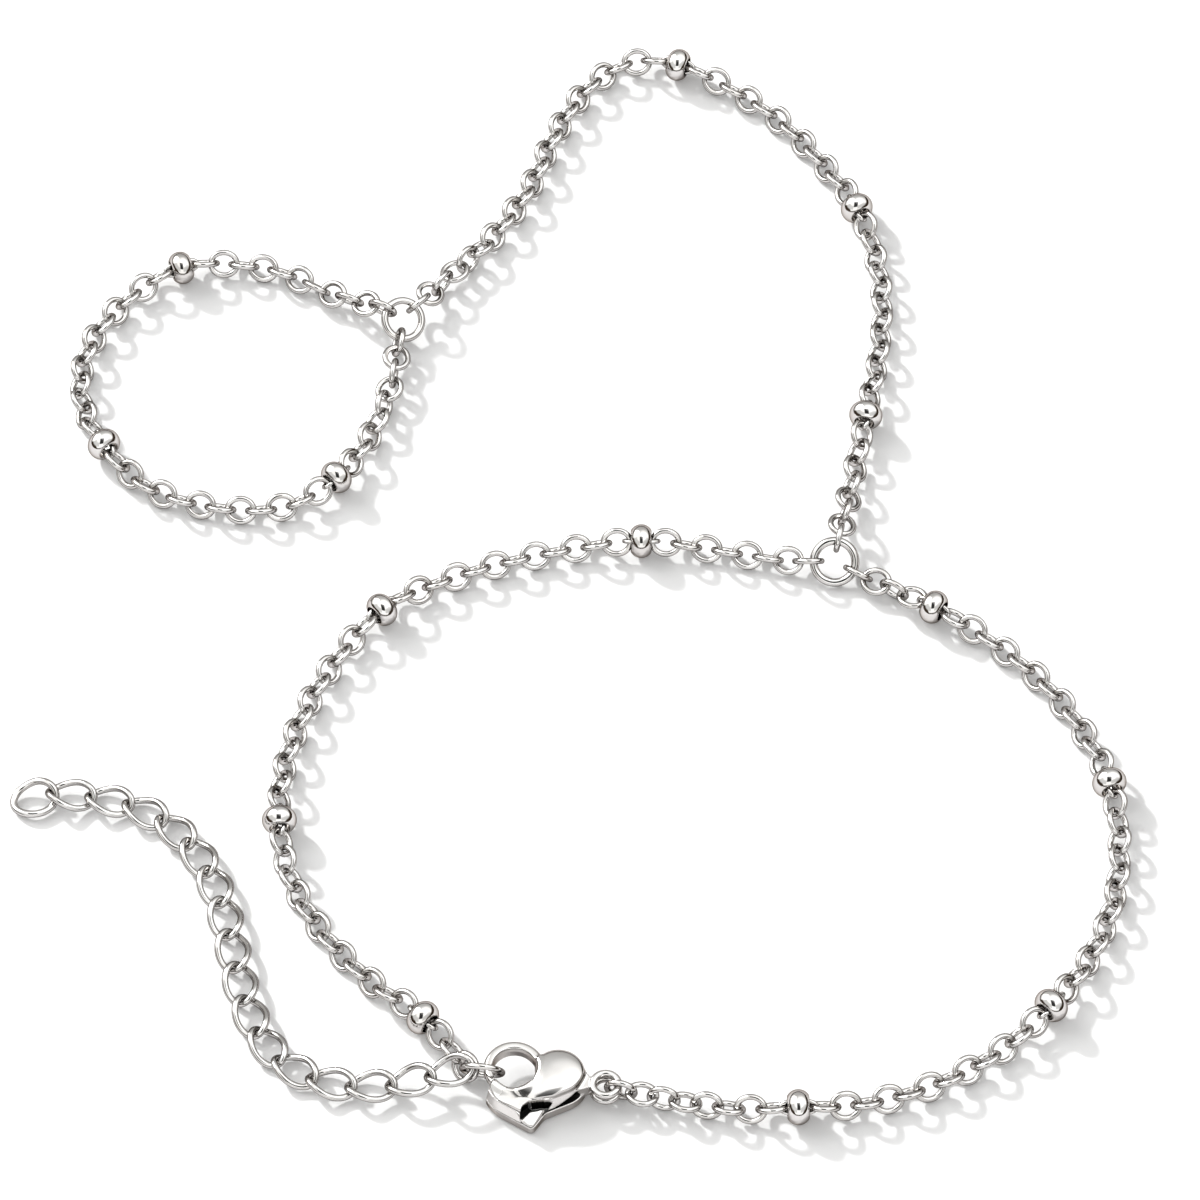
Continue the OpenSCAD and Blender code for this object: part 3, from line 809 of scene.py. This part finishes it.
def painted_recess_shade(p, is_tab=False):
    """Painted shade in a slit, seam or pocket, from how far in a point lies: 1 where it is
    between the plates and stands back from the heart's side, 0 on the outside and on the thumb tab."""
    outline = np.minimum(drop(p, DOME_LOBE, NOSE), drop(p, BELLY, TIP)) + lean(p)
    inset = ramp(-outline, 0.03, 0.08) * ramp(disc(p, *HOLE), 0.04, 0.1)
    level = ramp(p[..., 2], 0.67, 0.72) * (1 - ramp(p[..., 2], 1.5, 1.56))
    # Painted shade: strongest where a point stands back from the side between the plates
    painted_shade = inset * level
    if is_tab:
        painted_shade = painted_shade * (1 - (recess(p) < 0.1) * (tab_outline(p) < 0.02))
    return painted_shade


def skin(solid, low, high, cell):
    """Surface of a solid that is given by its distance function. A box is cut into cells. Each
    cell that the surface crosses gets a point at the mean of the crossings on its edges,
    each crossed edge joins the four points round it, and then every point moves onto the
    surface along the slope of the distance."""
    axes = [np.arange(a, b + cell, cell) for a, b in zip(low, high)]
    distance = solid(np.stack(np.meshgrid(*axes, indexing="ij"), -1))
    inside = distance < 0
    shape = np.array(inside.shape) - 1
    total = np.zeros((*shape, 3))
    count = np.zeros(shape)
    crossed = []
    for axis in range(3):
        u, v = (axis + 1) % 3, (axis + 2) % 3
        before = tuple(slice(None, -1) if k == axis else slice(None) for k in range(3))
        after = tuple(slice(1, None) if k == axis else slice(None) for k in range(3))
        at = np.argwhere(inside[before] != inside[after])
        step = np.eye(3, dtype=int)
        d0, d1 = distance[before][tuple(at.T)], distance[after][tuple(at.T)]
        point = at + step[axis] * (d0 / (d0 - d1))[:, None]
        round_edge = [at, at - step[u], at - step[u] - step[v], at - step[v]]
        for cells in round_edge:
            np.add.at(total, tuple(cells.T), point)
            np.add.at(count, tuple(cells.T), 1)
        crossed.append((np.stack(round_edge, 1), inside[before][tuple(at.T)]))
    used = count > 0
    number = np.full(shape, -1)
    number[used] = np.arange(used.sum())
    points = total[used] / count[used][:, None] * cell + np.array(low)
    faces = []
    for cells, outward in crossed:
        quad = number[tuple(np.moveaxis(cells, -1, 0))]
        faces.append(np.where(outward[:, None], quad, quad[:, ::-1]))
    reach = cell / 4
    for _ in range(4):
        slope = np.stack([
            solid(points + reach * side) - solid(points - reach * side) for side in np.eye(3)
        ], -1) / (2 * reach)
        steep = np.maximum((slope ** 2).sum(-1, keepdims=True), 0.2)
        shift = solid(points)[:, None] * slope / steep
        points = points - np.clip(shift, -cell / 2, cell / 2)
    return points, np.concatenate(faces)


# Cell of the grid that finds the surfaces, and its margins below and above the node's box
CELL = 0.046
MARGINS = (0.15, 0.3)


def cast_piece(name, node, solid, material, slot, body, is_tab=False):
    """The surface of a solid, in the place of its node, with painted shade where it lies in a
    recess.
    """
    low, high = (np.array(corner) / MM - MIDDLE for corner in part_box(node))
    points, faces = skin(solid, low - MARGINS[0], high + MARGINS[1], CELL)
    # Painted shade, darkest in slits, seams and pockets
    shade = painted_recess_shade(points, is_tab)
    dress(make_mesh(name, points, faces, material, 0, shade), slot, body, node)


# ---------------------------------------------------------------- everything in its place

place_camera()
place_studio()

# Steels, as tone, roughness, tint of the film, and strength of the polishing marks
chain_steel = polished_steel("chain_steel", 0.96, 0.03, 0.64)
for name in ("wrist_chain_left", "wrist_chain_right", "hand_chain", "finger_chain"):
    cable_chain(name, chain_steel)
curb_chain("extension_chain", polished_steel("curb_steel", 0.96, 0.03, 0.62))

ring_steel = polished_steel("ring_steel", 0.96, 0.03, 0.66)
for name, wire in (("wrist_ring", 0.57), ("finger_ring", 0.51), ("clasp_ring", 0.41)):
    round_ring(name, wire, ring_steel)
end_link("end_ring", ring_steel)

bead_steel = polished_steel("bead_steel", 0.76, 0.035, 0.84, 0.6)
for name in sorted(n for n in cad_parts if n.startswith("bead_")):
    bead(name, bead_steel)

clasp_steel = polished_steel("clasp_steel", 0.74, 0.13, 0.84, 0.5)
cast_piece("clasp_body_cast", "clasp_body", clasp_body, clasp_steel, "clasp", "chain")
lever_steel = polished_steel("lever_steel", 0.8, 0.14, 0.86, 0.5)
cast_piece("clasp_lever_cast", "clasp_lever", clasp_lever, lever_steel, "lever", "lever", True)
cast_piece("clasp_pin_shank", "clasp_pin", pin_shank, lever_steel, "lever", "chain")
